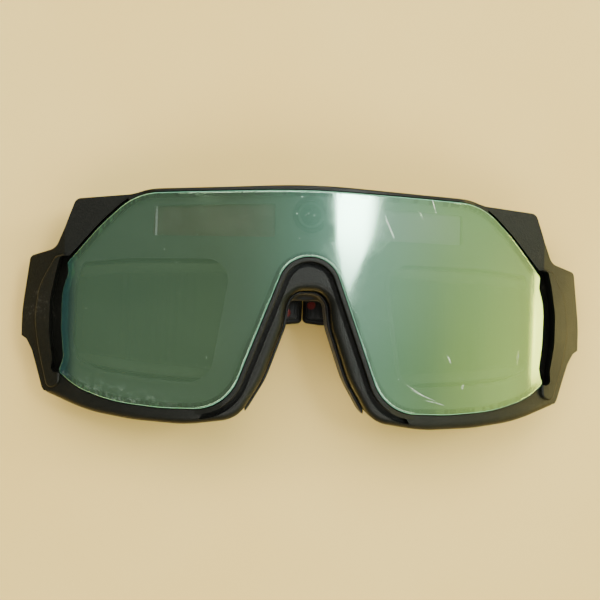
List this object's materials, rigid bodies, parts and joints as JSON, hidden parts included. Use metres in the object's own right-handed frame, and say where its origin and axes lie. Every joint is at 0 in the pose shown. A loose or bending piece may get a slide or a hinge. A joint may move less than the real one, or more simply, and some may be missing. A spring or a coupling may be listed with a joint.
{
  "type": "welding goggles",
  "caption": "Wrap-around auto-darkening welding goggles: coated cover lens over a filter cartridge in a black frame, with folding telescopic temples.",
  "frame": {"origin": "centre of the footprint at the level of the surface the goggles lie on", "axes": "+Z out of the lens, away from the face; +Y towards the brow; +X across the lens, to the right as seen looking at it"},
  "size_m": [0.1642, 0.0671, 0.0414],
  "materials": {
    "frame_plastic": "fine sand-textured black injection moulding",
    "cover_lens": "clear polycarbonate with a green mirrored coating, scratched",
    "carrier_plastic": "satin moulding",
    "filter_glass": "interference-coated filter glass",
    "lcd_glass": "laminated liquid-crystal cell",
    "solar_film": "amorphous solar film behind glass",
    "sensor_plastic": "smoked window",
    "diode_resin": "clear resin",
    "circuit_laminate": "green solder mask",
    "chip_resin": "moulded epoxy",
    "cell_steel": "nickel-plated can",
    "flex_film": "polyimide film",
    "inner_lens": "clear polycarbonate",
    "screw_steel": "blackened steel",
    "pin_steel": "plain steel",
    "spring_steel": "spring steel strip",
    "brow_foam": "closed-cell foam with a fine skin",
    "nose_rubber": "soft matte elastomer",
    "arm_plastic": "satin black moulding",
    "pad_rubber": "red soft elastomer"
  },
  "bodies": {
    "front": {"front_frame": "frame_plastic", "cover_lens": "cover_lens", "filter_carrier": "carrier_plastic", "sensor_bezel": "carrier_plastic", "sensor_window": "sensor_plastic", "photodiodes": "diode_resin", "left_filter_glass": "filter_glass", "right_filter_glass": "filter_glass", "left_lcd_cell": "lcd_glass", "right_lcd_cell": "lcd_glass", "left_solar_cell": "solar_film", "right_solar_cell": "solar_film", "left_flex_cable": "flex_film", "right_flex_cable": "flex_film", "left_inner_lens": "inner_lens", "right_inner_lens": "inner_lens", "circuit_board": "circuit_laminate", "controller_chip": "chip_resin", "battery_cell": "cell_steel", "rear_cover": "frame_plastic", "rear_cover_screws": "screw_steel", "brow_pad": "brow_foam", "nose_saddle": "nose_rubber", "left_hinge_pin": "pin_steel", "right_hinge_pin": "pin_steel"},
    "left_temple": {"left_temple_arm": "arm_plastic", "left_temple_cover": "arm_plastic", "left_temple_screw": "screw_steel", "left_detent_spring": "spring_steel"},
    "left_tip": {"left_temple_slider": "arm_plastic", "left_tip_pad": "pad_rubber"},
    "right_temple": {"right_temple_arm": "arm_plastic", "right_temple_cover": "arm_plastic", "right_temple_screw": "screw_steel", "right_detent_spring": "spring_steel"},
    "right_tip": {"right_temple_slider": "arm_plastic", "right_tip_pad": "pad_rubber"}
  },
  "joints": [
    {"name": "left_temple_fold", "type": "hinge", "parent": "front", "child": "left_temple", "pos_m": [-0.0772, -0.0038, 0.008], "axis": [0, 1, 0], "range_deg": [0, 95]},
    {"name": "right_temple_fold", "type": "hinge", "parent": "front", "child": "right_temple", "pos_m": [0.0772, -0.0038, 0.008], "axis": [0, -1, 0], "range_deg": [0, 90]},
    {"name": "left_tip_slide", "type": "slide", "parent": "left_temple", "child": "left_tip", "axis": [0.999, 0, 0.0436], "range_m": [0, 0.026]},
    {"name": "right_tip_slide", "type": "slide", "parent": "right_temple", "child": "right_tip", "axis": [-0.999, 0, -0.0436], "range_m": [0, 0.026]}
  ]
}
